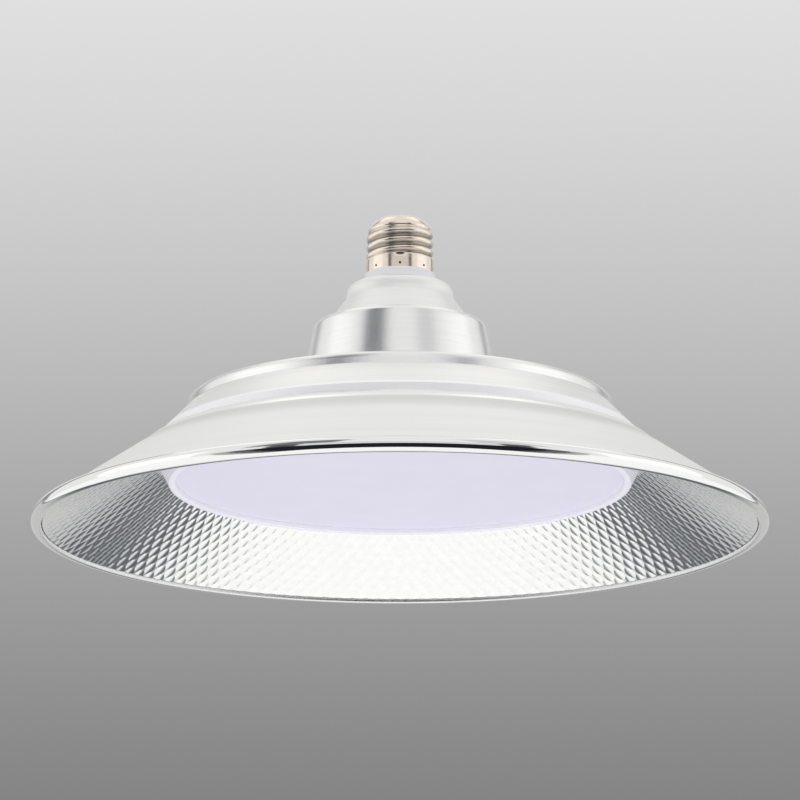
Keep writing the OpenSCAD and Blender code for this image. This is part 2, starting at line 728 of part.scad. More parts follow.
// Both mains wires leave the board's front near its top edge, side by side
wire_x = wire_d + gap / 2;
mains_z = pcb_top_z - 3;
mains_y = front_y + wire_r + 0.05;
shell_touch_r = thread_root_r - cap_t;
touch_z = neck_top_z + wire_d * 2;
live_route = [
    [wire_x, mains_y, mains_z], [wire_x, mains_y, mains_z + 4], [wire_x, 2.4, sleeve_top_z + 1],
    [wire_x, 2.2, sleeve_neck_z], [wire_x, 2, bell_z], [1.2, 1.2, cap_z], [0.3, 0.4, cap_z + 8],
    [0, 0, stub_foot_z - 3], [0, 0, stub_foot_z + 0.1]
];
neutral_route = [
    [-wire_x, mains_y, mains_z], [-wire_x, mains_y, mains_z + 4], [-wire_x, 2.4, sleeve_top_z + 1],
    [-wire_x, 2, sleeve_neck_z], [1, -wire_x, bell_z], [4.5, -1, cap_z], [neck_in - 1, 0, neck_top_z + 1.5],
    [neck_r, 0, touch_z - 0.6], [shell_touch_r - 1, 0, touch_z], [shell_touch_r - gap, 0, touch_z]
];

module live_wire() {
    color("firebrick") tube(live_route, wire_r);
}

module neutral_wire() {
    color("black") tube(neutral_route, wire_r);
}

// Both leads pass the hole in the plates and lie down on the LED board
module led_wires() {
    lead_r = wire_r * 0.7;
    lead_x = 1.6;
    up_y = back_y - wire_r - 0.05;
    down_z = board_z - wire_r - 0.05;
    color("firebrick") for (side = [-1, 1]) tube([
        [side * lead_x, up_y, pcb_z + 5], [side * lead_x, up_y, pcb_z + 1],
        [side * lead_x, up_y, sleeve_z + 1], [side * lead_x, up_y - 0.5, flange_z],
        [side * lead_x, up_y - 0.9, board_z], [side * lead_x, up_y - 2.3, board_z - 1.6],
        [side * lead_x, up_y - 4.5, down_z], [side * lead_x, up_y - 6.3, down_z]
    ], lead_r);
}

centre_contact();
cap_insulator();
screw_shell();
base_collar();
housing();
shade();
reflector_liner();
diffuser();
heat_spreader();
led_board();
led_chips();
led_board_screws();
shade_screws();
driver_sleeve();
sleeve_screws();
driver_board();
bulk_capacitor();
output_capacitor();
transformer();
line_choke();
bridge_rectifier();
driver_chip();
fusible_resistor();
varistor();
live_wire();
neutral_wire();
led_wires();
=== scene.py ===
"""Screw-in LED pendant lamp: finishes, rolled cap and studio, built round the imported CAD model.

Lengths are in metres, in the CAD model's own frame: the lamp's axis is Z, its rim stands on z = 0.
"""

import math

import bpy
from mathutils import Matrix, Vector


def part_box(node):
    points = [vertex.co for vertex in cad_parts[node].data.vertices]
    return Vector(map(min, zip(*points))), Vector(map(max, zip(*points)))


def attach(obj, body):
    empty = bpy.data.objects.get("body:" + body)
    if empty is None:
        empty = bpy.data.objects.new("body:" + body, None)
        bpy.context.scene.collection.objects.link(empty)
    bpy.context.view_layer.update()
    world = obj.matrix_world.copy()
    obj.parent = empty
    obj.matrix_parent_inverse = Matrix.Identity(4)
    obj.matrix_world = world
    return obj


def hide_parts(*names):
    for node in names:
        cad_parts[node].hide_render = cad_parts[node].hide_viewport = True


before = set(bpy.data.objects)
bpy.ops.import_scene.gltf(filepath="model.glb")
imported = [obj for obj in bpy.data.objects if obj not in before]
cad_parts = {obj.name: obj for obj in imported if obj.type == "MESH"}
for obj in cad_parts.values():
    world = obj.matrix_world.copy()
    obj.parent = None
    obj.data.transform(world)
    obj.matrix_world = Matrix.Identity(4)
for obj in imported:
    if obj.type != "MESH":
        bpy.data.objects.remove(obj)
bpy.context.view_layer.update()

bl_info = {
    "name": "Pendant lamp builder",
    "version": (1, 0, 0),
    "blender": (4, 5, 0),
    "location": "View3D > Sidebar > Lamp",
    "description": "Finishes a spun aluminium LED pendant lamp and lights it in a plain studio",
    "category": "Object",
}

MM = 0.001
BODY = "root"

# The studio's cards stand round this height on the lamp's axis
CARD_HEIGHT = 60 * MM


class LampCapSettings(bpy.types.PropertyGroup):
    """Sizes of the rolled screw cap"""

    crest: bpy.props.FloatProperty(
        name="Crest radius", description="Radius of the thread's crests",
        default=13.225 * MM, unit="LENGTH")
    root: bpy.props.FloatProperty(
        name="Root radius", description="Radius of the thread's roots",
        default=12.13 * MM, unit="LENGTH")
    pitch: bpy.props.FloatProperty(
        name="Pitch", description="Height of one turn of the thread",
        default=3.629 * MM, unit="LENGTH")
    turns: bpy.props.FloatProperty(
        name="Turns", description="Number of turns of the thread", default=3.0)
    skirt: bpy.props.FloatProperty(
        name="Skirt radius", description="Radius of the plain skirt under the thread",
        default=13.25 * MM, unit="LENGTH")
    skirt_height: bpy.props.FloatProperty(
        name="Skirt height", description="Height of the plain skirt",
        default=4.2 * MM, unit="LENGTH")
    sheet: bpy.props.FloatProperty(
        name="Sheet", description="Thickness of the rolled sheet",
        default=0.4 * MM, unit="LENGTH")
    crown: bpy.props.FloatProperty(
        name="Crown radius", description="Rounding of the shell's top edge",
        default=9.1 * MM, unit="LENGTH")
    crown_angle: bpy.props.FloatProperty(
        name="Crown angle", description="Angle through which the shell's top edge is rounded",
        default=math.radians(62.5), unit="ROTATION")
    marks: bpy.props.IntProperty(
        name="Punch marks", description="Number of punch marks round the skirt", default=8)
    tint: bpy.props.FloatVectorProperty(
        name="Nickel", description="Colour of the cap's plating",
        default=(0.90, 0.80, 0.695), subtype="COLOR")


class LampShadeSettings(bpy.types.PropertyGroup):
    """Sizes of the spun shade"""

    sheet: bpy.props.FloatProperty(
        name="Sheet", description="Thickness of the shade's sheet", default=1.0 * MM, unit="LENGTH")
    lip: bpy.props.FloatProperty(
        name="Lip radius", description="Outer radius of the rolled lip",
        default=2.9 * MM, unit="LENGTH")
    corner: bpy.props.FloatProperty(
        name="Corner", description="Rounding of the lip's inner corner, inside the sheet",
        default=0.3 * MM, unit="LENGTH")
    roll: bpy.props.FloatProperty(
        name="Roll", description="Angle above the horizontal at which the rolled edge ends",
        default=math.radians(80), unit="ROTATION")
    gutter: bpy.props.FloatProperty(
        name="Gutter", description="Height at which the cone runs into the lip's gutter",
        default=4.8 * MM, unit="LENGTH")
    cone_width: bpy.props.FloatProperty(
        name="Cone width", description="Width of the cone, seen from above",
        default=36.9 * MM, unit="LENGTH")
    bead_width: bpy.props.FloatProperty(
        name="Bead width", description="Width of the polished bead, seen from above",
        default=8.5 * MM, unit="LENGTH")
    bead_height: bpy.props.FloatProperty(
        name="Bead height", description="Rise of the polished bead",
        default=4.6 * MM, unit="LENGTH")
    bulge: bpy.props.FloatProperty(
        name="Bulge", description="Bulge of the polished bead", default=0.7 * MM, unit="LENGTH")
    flange: bpy.props.FloatProperty(
        name="Flange", description="Width of the flat flange inside the bead",
        default=9.3 * MM, unit="LENGTH")


class LampMetalSettings(bpy.types.PropertyGroup):
    """Colours of the spun aluminium and sizes of the embossed reflector"""

    spun: bpy.props.FloatVectorProperty(
        name="Spun aluminium", description="Colour of the housing and the shade",
        default=(0.90, 0.90, 0.892), subtype="COLOR")
    mirror: bpy.props.FloatVectorProperty(
        name="Embossed sheet", description="Colour of the embossed reflector",
        default=(0.965, 0.965, 0.955), subtype="COLOR")
    diamonds: bpy.props.IntProperty(
        name="Diamonds", description="Number of diamonds round the reflector", default=148)
    half_rows: bpy.props.IntProperty(
        name="Half rows", description="Number of half rows of diamonds down the reflector",
        default=11)
    emboss: bpy.props.FloatProperty(
        name="Emboss", description="Height of each diamond's pillow above the valleys round it",
        default=0.21 * MM, unit="LENGTH")
    sheet: bpy.props.FloatProperty(
        name="Sheet", description="Thickness of the reflector's sheet",
        default=0.6 * MM, unit="LENGTH")
    width: bpy.props.FloatProperty(
        name="Reflector width", description="Width of the reflector's cone, seen from below",
        default=41.5 * MM, unit="LENGTH")
    foot: bpy.props.FloatProperty(
        name="Foot", description="Height of the reflector's lower edge above the rim",
        default=1.8 * MM, unit="LENGTH")


class LampPlasticSettings(bpy.types.PropertyGroup):
    """Colours and sizes of the plastic pieces"""

    diffuser: bpy.props.FloatVectorProperty(
        name="Diffuser", description="Colour of the milky diffuser",
        default=(0.78, 0.755, 0.89), subtype="COLOR")
    # The ring's paler colour is painted light
    lit_diffuser_ring: bpy.props.FloatVectorProperty(
        name="Diffuser ring", description="Colour of the diffuser's ring and wall",
        default=(0.93, 0.92, 0.97), subtype="COLOR")
    collar: bpy.props.FloatVectorProperty(
        name="Collar", description="Colour of the collar under the cap",
        default=(0.80, 0.79, 0.83), subtype="COLOR")
    wall: bpy.props.FloatProperty(
        name="Wall", description="Thickness of the diffuser's wall",
        default=1.5 * MM, unit="LENGTH")
    flange: bpy.props.FloatProperty(
        name="Flange width", description="Width of the diffuser's flange",
        default=2.1 * MM, unit="LENGTH")
    flange_sheet: bpy.props.FloatProperty(
        name="Flange thickness", description="Thickness of the diffuser's flange",
        default=1.3 * MM, unit="LENGTH")
    flare: bpy.props.FloatProperty(
        name="Flare", description="Distance by which the diffuser's wall flares out",
        default=5.5 * MM, unit="LENGTH")
    ring_width: bpy.props.FloatProperty(
        name="Ring width", description="Width of the ring at the diffuser's lower edge",
        default=2.6 * MM, unit="LENGTH")
    ring_depth: bpy.props.FloatProperty(
        name="Ring depth", description="Depth of the ring below the diffuser's flat face",
        default=2.0 * MM, unit="LENGTH")
    ribs: bpy.props.IntProperty(
        name="Ribs", description="Number of fine ribs on the ring's inner wall", default=4)
    rib_depth: bpy.props.FloatProperty(
        name="Rib depth", description="Depth of the fine ribs on the ring's inner wall",
        default=0.12 * MM, unit="LENGTH")


class LampStageSettings(bpy.types.PropertyGroup):
    """The studio round the lamp"""

    floor_drop: bpy.props.FloatProperty(
        name="Floor", description="Distance of the floor below the lamp's rim",
        default=2.3, unit="LENGTH")
    floor_tone: bpy.props.FloatVectorProperty(
        name="Floor colour", description="Colour of the floor",
        default=(0.98, 0.98, 0.98), subtype="COLOR")
    paper_top: bpy.props.FloatVectorProperty(
        name="Paper, top", description="Colour of the backdrop paper at its top",
        default=(0.80, 0.80, 0.80), subtype="COLOR")
    # The paper's darker foot is painted shade
    paper_foot: bpy.props.FloatVectorProperty(
        name="Paper, foot", description="Colour of the backdrop paper at its foot",
        default=(0.185, 0.185, 0.185), subtype="COLOR")
    room: bpy.props.FloatProperty(
        name="Room light", description="Level of the room's even light", default=0.87)


class Socket:
    """One value in a shader. Arithmetic on it adds Math nodes."""

    def __init__(self, graph, socket):
        self.graph, self.socket = graph, socket

    def math(self, operation, *values):
        """Result of one Math node"""
        inputs = dict(enumerate(values))
        return self.graph.node("ShaderNodeMath", {"operation": operation}, inputs)[0]

    def __add__(self, other):
        return self.math("ADD", self, other)

    def __radd__(self, other):
        return self.math("ADD", other, self)

    def __sub__(self, other):
        return self.math("SUBTRACT", self, other)

    def __rsub__(self, other):
        return self.math("SUBTRACT", other, self)

    def __mul__(self, other):
        return self.math("MULTIPLY", self, other)

    def __rmul__(self, other):
        return self.math("MULTIPLY", other, self)

    def __truediv__(self, other):
        return self.math("DIVIDE", self, other)

    def __pow__(self, other):
        return self.math("POWER", self, other)


class Outputs:
    """A node's outputs, by name or number, as sockets"""

    def __init__(self, graph, made):
        self.graph, self.made = graph, made

    def __getitem__(self, key):
        return Socket(self.graph, self.made.outputs[key])


class Graph:
    """The node tree of a material or of the world"""

    def __init__(self, owner):
        owner.use_nodes = True
        self.tree = owner.node_tree
        self.tree.nodes.clear()

    def node(self, kind, settings=None, values=None):
        """Adds a node, with its settings and with values or links for its inputs"""
        made = self.tree.nodes.new(kind)
        for key, value in (settings or {}).items():
            if key == "stops":
                ramp = made.color_ramp
                while len(ramp.elements) < len(value):
                    ramp.elements.new(1.0)
                for stop, (place, colour) in zip(ramp.elements, value):
                    stop.position, stop.color = place, (*colour, 1.0)
            else:
                setattr(made, key, value)
        for key, value in (values or {}).items():
            if isinstance(value, Socket):
                self.tree.links.new(value.socket, made.inputs[key])
            else:
                made.inputs[key].default_value = value
        return Outputs(self, made)

    def place(self):
        """Position on the lamp, in millimetres"""
        where = self.node("ShaderNodeTexCoord")["Object"]
        return self.node(
            "ShaderNodeVectorMath", {"operation": "SCALE"}, {0: where, "Scale": 1 / MM})[0]

    def axes(self, vector):
        """A vector's three parts"""
        split = self.node("ShaderNodeSeparateXYZ", values={0: vector})
        return split[0], split[1], split[2]

    def join(self, x, y, z):
        """A vector made from three parts"""
        return self.node("ShaderNodeCombineXYZ", values={0: x, 1: y, 2: z})[0]

    def noise(self, vector, scale, detail=2.0, roughness=0.5):
        """Soft noise between 0 and 1, with scale features per millimetre"""
        return self.node("ShaderNodeTexNoise", None, {
            "Vector": vector, "Scale": scale, "Detail": detail, "Roughness": roughness})[0]

    def span(self, value, low, high, to_low=0.0, to_high=1.0, smooth=False):
        """A value's place between low and high, given as a place between two other values"""
        return self.node("ShaderNodeMapRange", {
            "interpolation_type": "SMOOTHSTEP" if smooth else "LINEAR", "clamp": True,
        }, {0: value, 1: low, 2: high, 3: to_low, 4: to_high})[0]

    def tint(self, factor, first, second):
        """Colour between two colours"""
        made = self.node("ShaderNodeMix", {"data_type": "RGBA"}).made
        for key, value in ((0, factor), (6, first), (7, second)):
            if isinstance(value, Socket):
                self.tree.links.new(value.socket, made.inputs[key])
            else:
                made.inputs[key].default_value = (*value, 1.0)
        return Socket(self, made.outputs[2])

    def bump(self, height, strength, distance, normal=None):
        """Normal of a surface with a fine relief, on top of another relief where one is given"""
        values = {"Height": height, "Strength": strength, "Distance": distance}
        if normal is not None:
            values["Normal"] = normal
        return self.node("ShaderNodeBump", None, values)["Normal"]

    def surface(self, values):
        """Makes these values the material's surface"""
        shader = self.node("ShaderNodeBsdfPrincipled", None, values)[0]
        self.node("ShaderNodeOutputMaterial", None, {"Surface": shader})


def tone(colour, gain=1.0):
    """A colour property as a plain tuple, made lighter or darker"""
    return tuple(min(channel * gain, 1.0) for channel in colour)


def finish(name, build, *args):
    """Makes a material once and fills it with the nodes that build makes.
    Its name keeps it apart from the plain colours that come with the CAD model."""
    name += "_finish"
    material = bpy.data.materials.get(name)
    if material is None:
        material = bpy.data.materials.new(name)
        build(Graph(material), *args)
    return material


def turned_lines(graph, per_mm, turn=0.6):
    """Fine lines that run round the axis, as a lathe's tool leaves them"""
    x, y, z = graph.axes(graph.place())
    radius = (x * x + y * y) ** 0.5 + 0.001
    along = (radius + z * 1.37) * per_mm
    return graph.noise(graph.join(x / radius * turn, y / radius * turn, along), 1.0, 3.0, 0.6)


def spun_aluminium(graph, colour):
    """Housing: satin spun metal, polished on the step, with a painted highlight on the skirt, which
    is made pale and less metallic, and less metallic on the bell's top, which lightens it. The
    heights on the lamp are in millimetres."""
    skirt_top, step_foot, step_top, crown_foot = 38.1, 47.1, 83.5, 93.5
    z = graph.axes(graph.place())[2]
    lines = turned_lines(graph, 5.0)
    cloud = graph.noise(graph.place(), 0.05, 2.0)
    grain = graph.noise(graph.place(), 3.5, 2.0)
    step = graph.span(z, step_foot - 0.5, step_foot + 0.5, 0.0, 1.0, True)
    shine = step * graph.span(z, step_top - 0.5, step_top + 0.5, 1.0, -0.3, True)
    # Painted highlight: below the skirt's top the housing is made pale and less metallic, so that
    # the skirt looks as bright as a reflection
    skirt = graph.span(z, skirt_top - 0.2, skirt_top + 0.2, 1.0, 0.0)
    # The bell's top is made less metallic, which lightens it
    crown = graph.span(z, crown_foot - 1.5, crown_foot + 1.5)
    rough = 0.39 - shine * 0.18 + (lines - 0.5) * 0.06 + (cloud - 0.5) * 0.06 + (grain - 0.5) * 0.16
    base = graph.tint(graph.span(lines, 0.3, 0.7), tone(colour, 0.97), tone(colour, 1.03))
    normal = graph.bump(grain, 0.22, 0.0001, graph.bump(lines, 0.10, 0.00006))
    graph.surface({"Base Color": graph.tint(skirt, base, (0.98, 0.98, 1.0)),
                   "Metallic": 1 - skirt * 0.55 - crown * 0.45, "Roughness": rough + skirt * 0.10,
                   "Normal": normal, "Anisotropic": 0.5})


def shade_aluminium(graph, colour):
    """Shade: satin cone with painted shade at its top under the bead, polished bead above it and
    bright lip below it.
    The places on the lamp are in millimetres."""
    lip_radius, bead_foot, painted_shade_foot, painted_shade_top = 138.3, 30.0, 23.0, 28.0
    x, y, z = graph.axes(graph.place())
    lines = turned_lines(graph, 4.0)
    cloud = graph.noise(graph.place(), 0.04, 2.0)
    lip = graph.span((x * x + y * y) ** 0.5, lip_radius - 0.4, lip_radius + 0.4, 0.0, 1.0, True)
    bead = graph.span(z, bead_foot - 0.3, bead_foot + 0.3, 0.0, 1.0, True)
    patches = (cloud - 0.5) * 0.05 * (1 - lip)
    rough = 0.42 - lip * 0.35 - bead * 0.20 + (lines - 0.5) * 0.05 + patches
    base = graph.tint(graph.span(lines, 0.3, 0.7), tone(colour, 0.98), tone(colour, 1.02))
    # Painted shade: the cone is darker near its top, just under the bead
    base = graph.tint(graph.span(z, painted_shade_foot, painted_shade_top) * (1 - bead), base, tone(colour, 0.82))
    normal = graph.bump(lines, 0.06, 0.00006)
    graph.surface({"Base Color": base, "Metallic": 1.0, "Roughness": rough, "Normal": normal,
                   "Anisotropic": 0.4})


def embossed_sheet(graph, colour):
    """Reflector: bright rolled sheet, slightly dulled in places"""
    cloud = graph.noise(graph.place(), 0.3, 3.0)
    grain = graph.noise(graph.place(), 4.0, 2.0)
    base = graph.tint(graph.span(cloud, 0.3, 0.7), tone(colour, 0.97), tone(colour, 1.02))
    graph.surface({"Base Color": base, "Metallic": 1.0, "Roughness": 0.05 + cloud * 0.04,
                   "Normal": graph.bump(grain, 0.05, 0.0001)})


def plated_nickel(graph, colour):
    """Polished plating with rolling marks"""
    lines = turned_lines(graph, 7.0, 1.2)
    cloud = graph.noise(graph.place(), 0.35, 3.0)
    base = graph.tint(graph.span(cloud, 0.35, 0.7), tone(colour), tone(colour, 0.94))
    graph.surface({"Base Color": base, "Metallic": 1.0,
                   "Roughness": 0.12 + lines * 0.06 + cloud * 0.06,
                   "Normal": graph.bump(lines, 0.08, 0.00005)})


def rolled_nickel(graph, colour, marks, mark_height, thread_foot, crest, skirt):
    """Cap's shell: polished plating, duller down in the thread, with painted shade in the thread's
    grooves, in the punch marks and in the dent over them. All sizes are in millimetres."""
    run_out_foot, run_out_top = thread_foot + 11.2, thread_foot + 13.0
    dimple_height, dimple_half_width, dimple_half_height = thread_foot + 1.15, 2.4, 0.62
    x, y, z = graph.axes(graph.place())
    lines = turned_lines(graph, 7.0, 1.2)
    cloud = graph.noise(graph.place(), 0.35, 3.0)
    radius = (x * x + y * y) ** 0.5
    grooves = graph.span(radius, crest - 0.85, crest - 0.25, 1.0, 0.0, True)
    thread = graph.span(z, thread_foot, thread_foot + 0.6)
    groove_shade_and_dulling = grooves * thread * graph.span(z, run_out_foot, run_out_top, 1.0, 0.0)
    turn = graph.node("ShaderNodeMath", {"operation": "ARCTAN2"}, {0: y, 1: x})[0] + math.pi / 2
    away = (2 - 2 * (turn * marks).math("COSINE", turn * marks)) ** 0.5 * (skirt / marks)
    rise = z - mark_height
    pit_shade = graph.span((away * away + rise * rise) ** 0.5, 0.32, 0.52, 1.0, 0.0, True)
    wide, high = turn * (skirt / dimple_half_width), (z - dimple_height) / dimple_half_height
    dimple_shade = graph.span((wide * wide + high * high) ** 0.5, 0.60, 0.95, 0.85, 0.0, True)
    base = graph.tint(graph.span(cloud, 0.35, 0.7), tone(colour), tone(colour, 0.94))
    # Painted shade: darker down in the thread's grooves, which are also made duller
    base = graph.tint(groove_shade_and_dulling * 0.85, base, tone(colour, 0.34))
    # Painted shade: the punch marks and the dent over them are coloured dark
    base = graph.tint(pit_shade, base, (0.02, 0.016, 0.012))
    base = graph.tint(dimple_shade, base, (0.10, 0.085, 0.07))
    graph.surface({"Base Color": base, "Metallic": 1.0,
                   "Roughness": 0.11 + lines * 0.06 + cloud * 0.05 + groove_shade_and_dulling * 0.08,
                   "Normal": graph.bump(lines, 0.08, 0.00005)})


def moulded(graph, colour, roughness=0.38, grain_scale=3.0, strength=0.08):
    """Moulded plastic with a faint texture and flow marks"""
    where = graph.place()
    flow = graph.noise(where, 0.06, 3.0)
    grain = graph.noise(where, grain_scale, 2.0)
    base = graph.tint(graph.span(flow, 0.3, 0.7), tone(colour, 0.98), tone(colour, 1.015))
    rough = roughness + (flow - 0.5) * 0.08 + (grain - 0.5) * 0.04
    graph.surface({"Base Color": base, "Roughness": rough, "IOR": 1.49,
                   "Normal": graph.bump(grain, strength, 0.0001)})


def milky_plastic(graph, colour, lit_ring_colour, ring):
    """Diffuser: satin face, and a ring with painted light, paler than the face, that starts at a
    radius in millimetres
    """
    x, y, _ = graph.axes(graph.place())
    flow = graph.noise(graph.place(), 0.06, 3.0)
    grain = graph.noise(graph.place(), 5.0, 2.0)
    radius = (x * x + y * y) ** 0.5
    beyond_face = graph.span(radius, ring - 0.3, ring)
    # Painted light: the ring, and by half the flaring wall beyond it, are made paler than the face
    pale = beyond_face * graph.span(radius, ring + 0.4, ring + 0.8, 1.0, 0.5)
    base = graph.tint(graph.span(flow, 0.3, 0.7), tone(colour, 0.985), tone(colour, 1.01))
    base = graph.tint(pale, base, tone(lit_ring_colour))
    graph.surface({"Base Color": base, "Roughness": 0.40 + (flow - 0.5) * 0.06, "IOR": 1.49,
                   "Normal": graph.bump(grain, 0.03, 0.0001)})


def milled_metal(graph, colour, roughness):
    """Plain sheet or turned metal that sits inside the lamp"""
    where = graph.place()
    cloud = graph.noise(where, 0.2, 3.0)
    grain = graph.noise(where, 3.0, 2.0)
    base = graph.tint(graph.span(cloud, 0.3, 0.7), tone(colour, 0.92), tone(colour, 1.05))
    graph.surface({"Base Color": base, "Metallic": 1.0,
                   "Roughness": roughness + (cloud - 0.5) * 0.15,
                   "Normal": graph.bump(grain, 0.10, 0.0001)})


def resist(graph, colour):
    """Printed board: coated face with faint copper tracks under it"""
    x, y, z = graph.axes(graph.place())
    tracks = graph.node("ShaderNodeTexBrick", {"offset": 0.5}, {
        "Vector": graph.join(x + y, z, 0.0), "Scale": 0.22, "Mortar Size": 0.03})["Fac"]
    cloud = graph.noise(graph.place(), 0.3, 2.0)
    base = graph.tint(tracks * 0.5, tone(colour), tone(colour, 1.35))
    graph.surface({"Base Color": base, "Roughness": 0.32 + cloud * 0.12, "IOR": 1.5,
                   "Normal": graph.bump(tracks, 0.15, 0.0001)})


def winding(graph, colour):
    """Enamelled wire wound in close turns"""
    turns = graph.node("ShaderNodeTexWave", {"wave_type": "BANDS", "bands_direction": "Z"}, {
        "Vector": graph.place(), "Scale": 1.1, "Distortion": 0.4})["Fac"]
    base = graph.tint(turns, tone(colour, 0.6), tone(colour, 1.15))
    graph.surface({"Base Color": base, "Metallic": 0.7, "Roughness": 0.30 + turns * 0.1,
                   "Normal": graph.bump(turns, 0.5, 0.0003)})


def show(name, vertices, faces, material, angle=30.0):
    """Makes a piece from its points and faces, shaded smooth up to an angle"""
    mesh = bpy.data.meshes.new(name)
    mesh.from_pydata(vertices, [], faces)
    mesh.validate()
    mesh.update()
    mesh.shade_smooth()
    mesh.set_sharp_from_angle(angle=math.radians(angle))
    mesh.materials.append(material)
    piece = bpy.data.objects.new(name, mesh)
    bpy.context.scene.collection.objects.link(piece)
    return piece


def revolve(profile, angles, push=None):
    """Points and faces of a closed profile of (radius, height) turned round the axis.
    A profile point on the axis becomes one point. push gives how far a point is moved outwards."""
    count, rows = len(angles), len(profile)
    vertices, rings = [], []
    for row, (radius, height) in enumerate(profile):
        if radius == 0:
            rings.append([len(vertices)] * count)
            vertices.append((0.0, 0.0, height))
            continue
        rings.append(range(len(vertices), len(vertices) + count))
        for angle in angles:
            out = radius + (push(row, angle, height) if push else 0.0)
            vertices.append((out * math.cos(angle), out * math.sin(angle), height))
    faces = []
    for row in range(rows):
        upper, lower = rings[row], rings[(row + 1) % rows]
        for i in range(count):
            j = (i + 1) % count
            corners = dict.fromkeys((upper[i], upper[j], lower[j], lower[i]))
            if len(corners) > 2:
                faces.append(tuple(corners))
    return vertices, faces


def even_angles(count):
    """Angles that divide a whole turn evenly"""
    return [2 * math.pi * i / count for i in range(count)]


def arc(cx, cy, radius, start, stop, steps):
    """Points of an arc between two angles in degrees"""
    return [(cx + radius * math.cos(math.radians(start + (stop - start) * i / steps)),
             cy + radius * math.sin(math.radians(start + (stop - start) * i / steps)))
            for i in range(steps + 1)]


def inset(path, thickness):
    """A path of (radius, height) moved to its inner side by the sheet's thickness"""
    moved = []
    for i, (radius, height) in enumerate(path):
        sides = []
        for (r0, z0), (r1, z1) in zip(path[max(i - 1, 0):i + 1], path[max(i, 1):i + 2]):
            length = math.hypot(r1 - r0, z1 - z0)
            sides.append(((z1 - z0) / length, (r0 - r1) / length))
        out, up = sum(side[0] for side in sides), sum(side[1] for side in sides)
        reach = thickness / (out * sides[0][0] + up * sides[0][1])
        moved.append((radius + out * reach, height + up * reach))
    return moved


def smooth(value, low, high):
    """0 below low, 1 above high, and a smooth rise between"""
    t = min(max((value - low) / (high - low), 0.0), 1.0)
    return t * t * (3 - 2 * t)


def dent(distance, radius):
    """Depth of a round dent at a distance from its middle, as a share of its whole depth"""
    return 1 - smooth(distance, 0.25 * radius, radius)


def dress(node, material):
    """Gives a CAD node its material"""
    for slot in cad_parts[node].material_slots:
        slot.material = material


class LampOperator:
    """What all the lamp's operators share"""

    bl_options = {"REGISTER", "UNDO"}


class OBJECT_OT_lamp_camera(LampOperator, bpy.types.Operator):
    """Make the camera that looks up at the hanging lamp"""

    bl_idname = "object.lamp_camera"
    bl_label = "Camera"

    def execute(self, context):
        distance = 1.4
        rise, tilt = math.radians(12.02), math.radians(2.13)
        data = bpy.data.cameras.new("Camera")
        data.sensor_width = 36.0
        data.lens = 163.5
        data.clip_start, data.clip_end = 0.05, 60.0
        camera = bpy.data.objects.new("Camera", data)
        camera.location = (0.0, -distance * math.cos(rise), -distance * math.sin(rise))
        camera.rotation_euler = (math.pi / 2 + rise + tilt, 0.0, 0.0)
        context.scene.collection.objects.link(camera)
        context.scene.camera = camera
        context.scene.view_settings.view_transform = "Standard"
        return {"FINISHED"}


